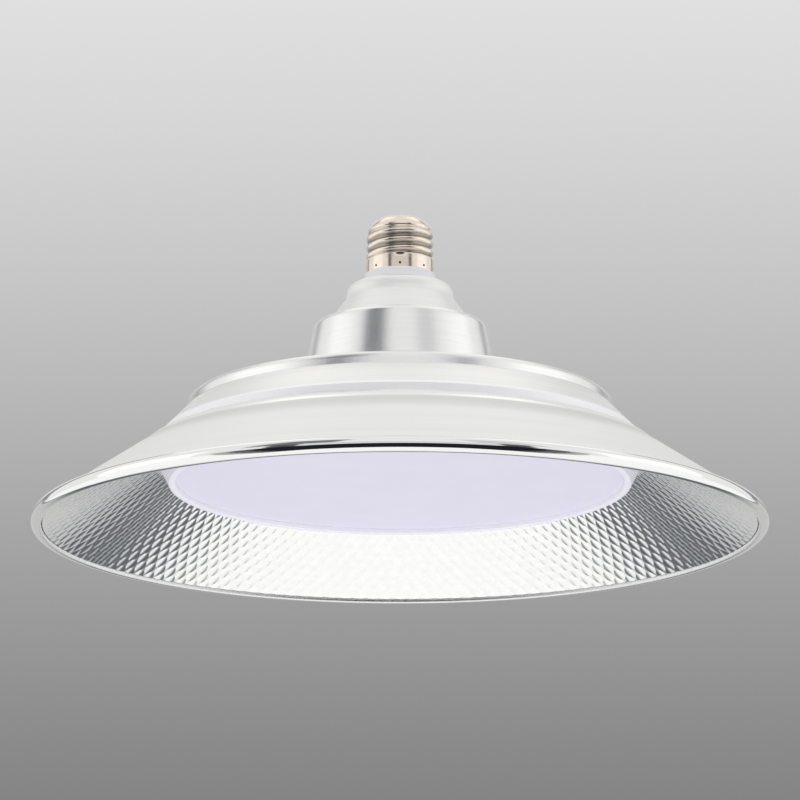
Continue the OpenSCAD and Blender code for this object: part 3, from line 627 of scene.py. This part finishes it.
class OBJECT_OT_lamp_cap(LampOperator, bpy.types.Operator):
    """Roll the cap's shell: helical thread, plain skirt, punch marks and the thread's run-out"""

    bl_idname = "object.lamp_cap"
    bl_label = "Screw cap"

    def execute(self, context):
        cap = context.scene.lamp_cap
        low, high = (corner.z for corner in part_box("screw_shell"))
        thread_foot = low + cap.skirt_height
        thread_top = thread_foot + cap.turns * cap.pitch
        depth = cap.crest - cap.root
        front = -math.pi / 2
        mark_height, mark_radius, mark_depth = low + 1.35 * MM, 0.55 * MM, 0.50 * MM
        mark_angles = [front + 2 * math.pi * i / cap.marks for i in range(cap.marks)]
        dimple_height, dimple_radius, dimple_depth = thread_foot + 1.0 * MM, 1.0 * MM, 0.60 * MM
        dimple_wide, dimple_high = 2.5, 0.75
        nickel = finish("nickel", rolled_nickel, cap.tint, cap.marks, mark_height / MM,
                        thread_foot / MM, cap.crest / MM, cap.skirt / MM)

        def groove(height, angle):
            """Depth of the rolled thread at a point of the shell"""
            turn = (height - thread_foot) / cap.pitch - (angle - front) / (2 * math.pi)
            start = smooth(height, thread_foot + 0.2 * cap.pitch, thread_foot + 0.75 * cap.pitch)
            stop = 1 - smooth(height, thread_top + 0.15 * cap.pitch, thread_top + 0.95 * cap.pitch)
            wave = (0.5 - 0.5 * math.cos(2 * math.pi * turn)) ** 0.9
            return depth * wave * start * stop

        def around(angle, other):
            """Distance round the skirt between two angles"""
            return abs((angle - other + math.pi) % (2 * math.pi) - math.pi) * cap.skirt

        def push(row, angle, height):
            """How far a point of the shell's outer face is moved outwards"""
            if row >= outer_rows:
                return 0.0
            out = -groove(height, angle) if height > thread_foot else 0.0
            near = min(math.hypot(around(angle, mark), height - mark_height)
                       for mark in mark_angles)
            out -= mark_depth * dent(near, mark_radius)
            off = math.hypot(around(angle, front) / dimple_wide,
                             (height - dimple_height) / dimple_high)
            return out - dimple_depth * dent(off, dimple_radius)

        crown_centre, crown_turn = cap.crest - cap.crown, math.degrees(cap.crown_angle)
        crown_foot = high - cap.crown * math.sin(cap.crown_angle)
        outer = arc(crown_centre, crown_foot, cap.crown, crown_turn, 0, 40)
        outer += [(cap.crest, crown_foot - (crown_foot - thread_foot) * i / 60)
                  for i in range(1, 61)]
        outer += [(cap.skirt, thread_foot - cap.skirt_height * i / 30) for i in range(1, 31)]
        outer_rows = len(outer)
        skirt_bore, thread_bore = cap.skirt - cap.sheet, cap.root - cap.sheet - 0.05 * MM
        inner = [(skirt_bore, low), (skirt_bore, thread_foot - 0.6 * MM),
                 (thread_bore, thread_foot + 1.2 * MM), (thread_bore, thread_top - 2.2 * MM)]
        inner += arc(crown_centre, crown_foot, cap.crown - cap.sheet, 0, crown_turn, 10)[2:]
        # More angles near each punch mark
        angles = {round(angle, 5) for angle in even_angles(264)}
        for mark in mark_angles:
            angles |= {round((mark + math.radians(0.45 * k)) % (2 * math.pi), 5)
                       for k in range(-7, 8)}
        vertices, faces = revolve(outer + inner, sorted(angles), push)
        shell = show("thread_shell", vertices, faces, nickel, 60)
        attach(shell, BODY)
        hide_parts("screw_shell")
        dress("centre_contact", finish("contact", plated_nickel, (0.72, 0.72, 0.70)))
        dress("cap_insulator", finish("insulator", moulded, (0.62, 0.62, 0.60)))
        return {"FINISHED"}


class OBJECT_OT_lamp_shade(LampOperator, bpy.types.Operator):
    """Spin the shade: flat flange, polished bead, cone and rolled lip"""

    bl_idname = "object.lamp_shade"
    bl_label = "Spun shade"

    def path(self, shade):
        """The shade's outer face, from the flange's hole out to the rolled edge"""
        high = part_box("shade")[1]
        lip_centre = high.x - shade.lip
        gutter = lip_centre - shade.corner
        bead = gutter - shade.cone_width
        bead_height = high.z - shade.bead_height
        flange = bead - shade.bead_width
        length = math.hypot(shade.bead_width, shade.bead_height)
        out, up = shade.bead_height / length, shade.bead_width / length
        path = [(flange - shade.flange, high.z)]
        for i in range(19):
            share = i / 18
            bow = shade.bulge * 4 * share * (1 - share)
            path.append((flange + shade.bead_width * share + out * bow,
                         high.z - shade.bead_height * share + up * bow))
        path += [(bead + (gutter - bead) * i / 8,
                  bead_height + (shade.gutter - bead_height) * i / 8) for i in range(1, 9)]
        path += arc(lip_centre, shade.corner + shade.sheet, shade.corner, 180, 260, 6)
        path += arc(lip_centre, shade.lip, shade.lip - shade.sheet,
                    270, 360 + math.degrees(shade.roll), 30)
        return path

    def execute(self, context):
        shade = context.scene.lamp_shade
        metal = finish("shade", shade_aluminium, context.scene.lamp_metal.spun)
        dress("shade", metal)
        path = self.path(shade)
        vertices, faces = revolve(path + inset(path, shade.sheet)[::-1], even_angles(480))
        spun = show("spun_shade", vertices, faces, metal, 35)
        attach(spun, BODY)
        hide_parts("shade")
        return {"FINISHED"}


class OBJECT_OT_lamp_metal(LampOperator, bpy.types.Operator):
    """Finish the spun housing and emboss the reflector"""

    bl_idname = "object.lamp_metal"
    bl_label = "Spun metal"

    def pillows(self, metal):
        """Points and faces of the reflector: a cone of diamonds, each a pillow between valleys"""
        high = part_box("reflector_liner")[1]
        foot_radius, top = high.x, high.z
        top_radius = foot_radius - metal.width
        slope = (top - metal.foot) / metal.width
        length = math.hypot(1.0, slope)
        inward, down = slope / length, 1 / length
        # Each half diamond has fine points along both of its directions
        fine = 4
        rows, count = metal.half_rows * fine, 2 * metal.diamonds * fine
        rise = metal.sheet * length
        vertices = []
        for row in range(rows + 1):
            share, k = row / rows, row / fine
            radius, height = top_radius + metal.width * share, top - (top - metal.foot) * share
            for column in range(count):
                i = column / fine
                u, v = (i + k) % 2 - 1, (i - k) % 2 - 1
                # The upper edge is plain, so that it lies flat on the diffuser
                lift = metal.emboss * (1 - u * u) * (1 - v * v) * min(1.0, 2 * k)
                out = radius - lift * inward
                a = 2 * math.pi * column / count
                vertices.append((out * math.cos(a), out * math.sin(a), height - lift * down))
        for radius, height in ((foot_radius, metal.foot + rise), (top_radius + rise / slope, top)):
            vertices += [(radius * math.cos(a), radius * math.sin(a), height)
                         for a in even_angles(count)]
        faces = []
        for row in range(rows + 3):
            after = row + 1 if row < rows + 2 else 0
            for column in range(count):
                near = (column + 1) % count
                a, b = row * count + column, row * count + near
                c, d = after * count + near, after * count + column
                odd = (column // fine + min(row, rows - 1) // fine) % 2
                faces += [(a, d, b), (b, d, c)] if odd else [(a, c, b), (a, d, c)]
        return vertices, faces

    def execute(self, context):
        metal = context.scene.lamp_metal
        dress("housing", finish("housing", spun_aluminium, metal.spun))
        mirror = finish("reflector", embossed_sheet, metal.mirror)
        dress("reflector_liner", mirror)
        liner = show("embossed_liner", *self.pillows(metal), mirror, 12)
        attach(liner, BODY)
        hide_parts("reflector_liner")
        return {"FINISHED"}


class OBJECT_OT_lamp_plastic(LampOperator, bpy.types.Operator):
    """Make the ribbed diffuser and finish the collar"""

    bl_idname = "object.lamp_plastic"
    bl_label = "Diffuser and collar"

    def profile(self, plastic):
        """Outline of the diffuser, from the middle of its face out to its flange and back inside"""
        low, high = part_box("diffuser")
        wall_top = high.x - plastic.flange
        ring = wall_top - plastic.flare
        face = low.z + plastic.ring_depth
        seat = high.z - plastic.flange_sheet
        lean = plastic.flare / (seat - low.z)
        inner_round, outer_round = 0.3 * MM, 0.7 * MM
        start, draft = ring - plastic.ring_width, 0.2 * MM
        rib_steps = 8
        steps = plastic.ribs * rib_steps
        outline = [(0.0, face)]
        for i in range(steps + 1):
            rib = plastic.rib_depth * (0.5 - 0.5 * math.cos(2 * math.pi * i / rib_steps))
            outline.append((start + draft * i / steps - rib,
                            face - (plastic.ring_depth - inner_round) * i / steps))
        outline += arc(start + draft + inner_round, low.z + inner_round, inner_round, 190, 270, 4)
        outline += arc(ring - outer_round, low.z + outer_round, outer_round, 270, 330, 6)
        outline += [(wall_top, seat), (high.x, seat), (high.x, high.z),
                    (wall_top - plastic.wall, high.z),
                    (ring - plastic.wall + lean * plastic.ring_depth, face + plastic.wall),
                    (0.0, face + plastic.wall)]
        return outline

    def execute(self, context):
        plastic = context.scene.lamp_plastic
        face_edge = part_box("diffuser")[1].x - plastic.flange - plastic.flare - plastic.ring_width
        milky = finish("diffuser", milky_plastic, plastic.diffuser, plastic.lit_diffuser_ring,
                       face_edge / MM)
        dress("diffuser", milky)
        vertices, faces = revolve(self.profile(plastic), even_angles(360))
        bowl = show("ribbed_diffuser", vertices, faces, milky, 40)
        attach(bowl, BODY)
        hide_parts("diffuser")
        dress("base_collar", finish("collar", moulded, plastic.collar, 0.30, 5.0, 0.03))
        return {"FINISHED"}


class OBJECT_OT_lamp_inside(LampOperator, bpy.types.Operator):
    """Finish the driver, the LED board and the fixings inside the lamp"""

    bl_idname = "object.lamp_inside"
    bl_label = "Inside parts"

    def execute(self, context):
        dress("heat_spreader", finish("spreader", milled_metal, (0.80, 0.80, 0.79), 0.38))
        dress("led_board", finish("board", resist, (0.82, 0.82, 0.80)))
        dress("led_chips", finish("phosphor", moulded, (0.90, 0.78, 0.30), 0.30, 6.0, 0.05))
        for node in ("led_board_screws", "shade_screws", "sleeve_screws"):
            dress(node, finish("screws", milled_metal, (0.62, 0.61, 0.58), 0.30))
        dress("driver_sleeve", finish("sleeve", moulded, (0.86, 0.85, 0.80), 0.45))
        dress("driver_board", finish("circuit", resist, (0.05, 0.22, 0.11)))
        for node in ("bulk_capacitor", "output_capacitor"):
            dress(node, finish("can", moulded, (0.03, 0.03, 0.035), 0.30))
        dress("transformer", finish("ferrite", moulded, (0.07, 0.07, 0.07), 0.60, 2.0, 0.3))
        dress("line_choke", finish("copper", winding, (0.80, 0.38, 0.16)))
        for node in ("bridge_rectifier", "driver_chip"):
            dress(node, finish("chip", moulded, (0.025, 0.025, 0.025), 0.50, 4.0, 0.2))
        dress("fusible_resistor", finish("resistor", moulded, (0.62, 0.50, 0.32), 0.40))
        dress("varistor", finish("varistor", moulded, (0.05, 0.16, 0.55), 0.35))
        dress("live_wire", finish("live", moulded, (0.55, 0.03, 0.02), 0.40))
        dress("neutral_wire", finish("neutral", moulded, (0.02, 0.02, 0.02), 0.40))
        dress("led_wires", finish("live", moulded, (0.55, 0.03, 0.02), 0.40))
        return {"FINISHED"}


def paper(graph, colour, share, seen_level=1.0, mirrored_level=1.0):
    """Paper that keeps its colour for the camera and for reflections, by a share of the whole.
    The rest is its own shading. The levels are those that the camera and reflections see."""
    path = graph.node("ShaderNodeLightPath")
    glossy = path["Is Glossy Ray"]
    mirrored = glossy.math("MAXIMUM", glossy, path["Is Transmission Ray"])
    seen = mirrored.math("MAXIMUM", mirrored, path["Is Camera Ray"])
    matt = graph.node("ShaderNodeBsdfDiffuse", None, {"Color": colour})[0]
    glow = graph.node("ShaderNodeEmission", None, {
        "Color": colour, "Strength": mirrored * (mirrored_level - seen_level) + seen_level})[0]
    mixed = graph.node("ShaderNodeMixShader", None, {0: seen * share, 1: matt, 2: glow})[0]
    graph.node("ShaderNodeOutputMaterial", None, {"Surface": mixed})


def floor_paper(graph, colour):
    """Floor: pale paper that keeps a little of the lamp's shadow"""
    paper(graph, (*colour, 1.0), 0.8, 0.875, 1.1)


def back_paper(graph, top, foot, low, high):
    """Backdrop: paper graded between two heights in metres, darker towards its foot as painted
    shade
    """
    z = graph.axes(graph.place())[2]
    painted_shade_grade = graph.span(z, low / MM, high / MM, 0.0, 1.0, True)
    paper(graph, graph.tint(painted_shade_grade, tuple(foot), tuple(top)), 1.0)


def card_face(graph, levels, lift, radius):
    """A card that only reflections see. Its levels are stops of (elevation, colour)."""
    z = graph.axes(graph.place())[2]
    foot, head = (math.sin(math.radians(edge)) for edge in lift)
    share = graph.span(z, (CARD_HEIGHT + radius * foot) / MM, (CARD_HEIGHT + radius * head) / MM)
    stops = [((math.sin(math.radians(up)) - foot) / (head - foot), level) for up, level in levels]
    colour = graph.node("ShaderNodeValToRGB", {"stops": stops}, {0: share})[0]
    glow = graph.node("ShaderNodeEmission", None, {"Color": colour, "Strength": 1.0})[0]
    graph.node("ShaderNodeOutputMaterial", None, {"Surface": glow})


def stage_mesh(name, vertices, faces, material):
    """Makes a piece of the studio"""
    piece = show(name, vertices, faces, material)
    return piece


def card(name, turn, lift, radius, *levels):
    """A curved studio card round the lamp, between two bearings and two elevations in degrees.
    Bearing 0 is the camera's side, and bearings grow to the right. levels are one colour, or
    stops of (elevation, colour) from the foot up."""
    steps = 24
    vertices, faces = [], []
    for i in range(steps + 1):
        bearing = math.radians(turn[0] + (turn[1] - turn[0]) * i / steps)
        for j in range(steps + 1):
            up = math.radians(lift[0] + (lift[1] - lift[0]) * j / steps)
            vertices.append((radius * math.cos(up) * math.sin(bearing),
                             -radius * math.cos(up) * math.cos(bearing),
                             CARD_HEIGHT + radius * math.sin(up)))
    for i in range(steps):
        for j in range(steps):
            a = i * (steps + 1) + j
            faces.append((a, a + 1, a + steps + 2, a + steps + 1))
    stops = levels if len(levels) > 1 else [(lift[0], levels[0]), (lift[1], levels[0])]
    piece = stage_mesh(name, vertices, faces, finish(name, card_face, stops, lift, radius))
    piece.visible_camera = False
    piece.visible_diffuse = False
    piece.visible_shadow = False
    piece.visible_transmission = False


def card_pair(name, near, far, lift, radius, colour):
    """The same card on the left and on the right, between two bearings"""
    card(f"left_{name}_card", (-far, -near), lift, radius, colour)
    card(f"right_{name}_card", (near, far), lift, radius, colour)


def softbox(name, place, aim, width, height, level, mirrored=True):
    """A rectangular lamp whose face has the given level, seen in reflections or not"""
    data = bpy.data.lights.new(name, "AREA")
    data.shape, data.size, data.size_y = "RECTANGLE", width, height
    data.energy = level * math.pi * width * height
    lamp = bpy.data.objects.new(name, data)
    lamp.location = place
    lamp.rotation_euler = (Vector(aim) - Vector(place)).to_track_quat("-Z", "Y").to_euler()
    lamp.visible_camera = False
    lamp.visible_glossy = mirrored
    bpy.context.scene.collection.objects.link(lamp)


class OBJECT_OT_lamp_stage(LampOperator, bpy.types.Operator):
    """Build the studio: floor, graded paper behind the lamp, soft lamps and dark cards"""

    bl_idname = "object.lamp_stage"
    bl_label = "Studio"

    def execute(self, context):
        stage = context.scene.lamp_stage
        floor, reach = -stage.floor_drop, 12.0
        corners = [(-reach, -reach, floor), (reach, -reach, floor),
                   (reach, reach, floor), (-reach, reach, floor)]
        stage_mesh("floor", corners, [(0, 1, 2, 3)], finish(
            "floor_paper", floor_paper, stage.floor_tone))
        back, half, top, grade_foot, grade_top = 2.6, 2.4, 3.2, 0.01, 1.46
        wall = [(-half, back, floor), (half, back, floor), (half, back, top), (-half, back, top)]
        stage_mesh("backdrop", wall, [(0, 1, 2, 3)], finish(
            "back_paper", back_paper, stage.paper_top, stage.paper_foot, grade_foot, grade_top))
        world = bpy.data.worlds.new("Room")
        context.scene.world = world
        graph = Graph(world)
        even = graph.node("ShaderNodeBackground", None, {
            "Color": (1.0, 1.0, 1.0, 1.0), "Strength": stage.room})[0]
        graph.node("ShaderNodeOutputWorld", None, {"Surface": even})
        aim = (0, 0, 0.05)
        softbox("left_box", (-2.2, -0.3, 0.5), aim, 1.6, 1.8, 0.24)
        softbox("right_box", (2.2, -0.3, 0.5), aim, 1.6, 1.8, 0.24)
        softbox("top_box", (0, 0.2, 2.4), aim, 1.6, 1.6, 0.3, False)
        softbox("floor_box", (0, -0.2, -2.2), aim, 2.6, 2.6, 1.0, False)
        # The dark band in the lip, which fades out at both ends
        card("front_card", (-44, 44), (-55, 1), 2.7, (0.015, 0.015, 0.018))
        card_pair("soft", 44, 51, (-55, 1), 2.7, (0.12, 0.12, 0.13))
        card_pair("softer", 51, 57, (-55, 1), 2.7, (0.42, 0.42, 0.43))
        # The bright front of the cap and of the band, and its dark edges
        card("window_card", (-30, 30), (1, 25), 2.8,
             (1, (0.85, 0.85, 0.86)), (6, (0.85, 0.85, 0.86)), (9, (0.64, 0.64, 0.66)),
             (17, (0.64, 0.64, 0.66)), (20, (0.80, 0.80, 0.82)), (25, (0.80, 0.80, 0.82)))
        card_pair("border", 30, 40, (1, 25), 2.8, (0.08, 0.08, 0.09))
        # The streaks, the bright sides and the dark edges of the stepped cylinder
        card("streak_card", (-50, -20), (25, 60), 2.9, (0.20, 0.205, 0.22))
        card("faint_streak_card", (24, 48), (25, 60), 2.9, (0.64, 0.64, 0.65))
        card_pair("glow", 118, 160, (52, 74), 2.9, (1.14, 1.13, 1.08))
        card_pair("strip", 133, 145, (0, 50), 2.5, (0.28, 0.28, 0.30))
        # What the reflector's diamonds show, from light at the foot to dark and back
        card("low_back_card", (138, 222), (-74, 8), 2.2,
             (-74, (1.0, 1.0, 0.99)), (-60, (0.97, 0.97, 0.96)), (-54, (0.90, 0.90, 0.89)),
             (-49, (0.70, 0.71, 0.71)), (-45, (0.34, 0.355, 0.37)), (-41, (0.17, 0.185, 0.20)),
             (-34, (0.09, 0.10, 0.115)), (-29, (0.19, 0.20, 0.215)), (-24, (0.42, 0.43, 0.44)),
             (-18, (0.56, 0.56, 0.56)), (8, (0.60, 0.60, 0.60)))
        return {"FINISHED"}


STEPS = (
    OBJECT_OT_lamp_camera, OBJECT_OT_lamp_cap, OBJECT_OT_lamp_shade, OBJECT_OT_lamp_metal,
    OBJECT_OT_lamp_plastic, OBJECT_OT_lamp_inside, OBJECT_OT_lamp_stage,
)


class VIEW3D_PT_lamp(bpy.types.Panel):
    """Builds the lamp and its studio"""

    bl_label = "Lamp"
    bl_idname = "VIEW3D_PT_lamp"
    bl_space_type = "VIEW_3D"
    bl_region_type = "UI"
    bl_category = "Lamp"

    def draw(self, context):
        for step in STEPS:
            self.layout.operator(step.bl_idname)
        for name in SETTINGS:
            group = getattr(context.scene, name)
            box = self.layout.box()
            for key in group.bl_rna.properties.keys():
                if key not in ("rna_type", "name"):
                    box.prop(group, key)


SETTINGS = {
    "lamp_cap": LampCapSettings,
    "lamp_shade": LampShadeSettings,
    "lamp_metal": LampMetalSettings,
    "lamp_plastic": LampPlasticSettings,
    "lamp_stage": LampStageSettings,
}


def register():
    for kind in (*SETTINGS.values(), *STEPS, VIEW3D_PT_lamp):
        bpy.utils.register_class(kind)
    for name, kind in SETTINGS.items():
        setattr(bpy.types.Scene, name, bpy.props.PointerProperty(type=kind))


def unregister():
    for name in SETTINGS:
        delattr(bpy.types.Scene, name)
    for kind in reversed((*SETTINGS.values(), *STEPS, VIEW3D_PT_lamp)):
        bpy.utils.unregister_class(kind)


def main():
    register()
    for step in STEPS:
        group, name = step.bl_idname.split(".")
        getattr(getattr(bpy.ops, group), name)()
    bpy.context.view_layer.update()


if __name__ == "__main__":
    main()
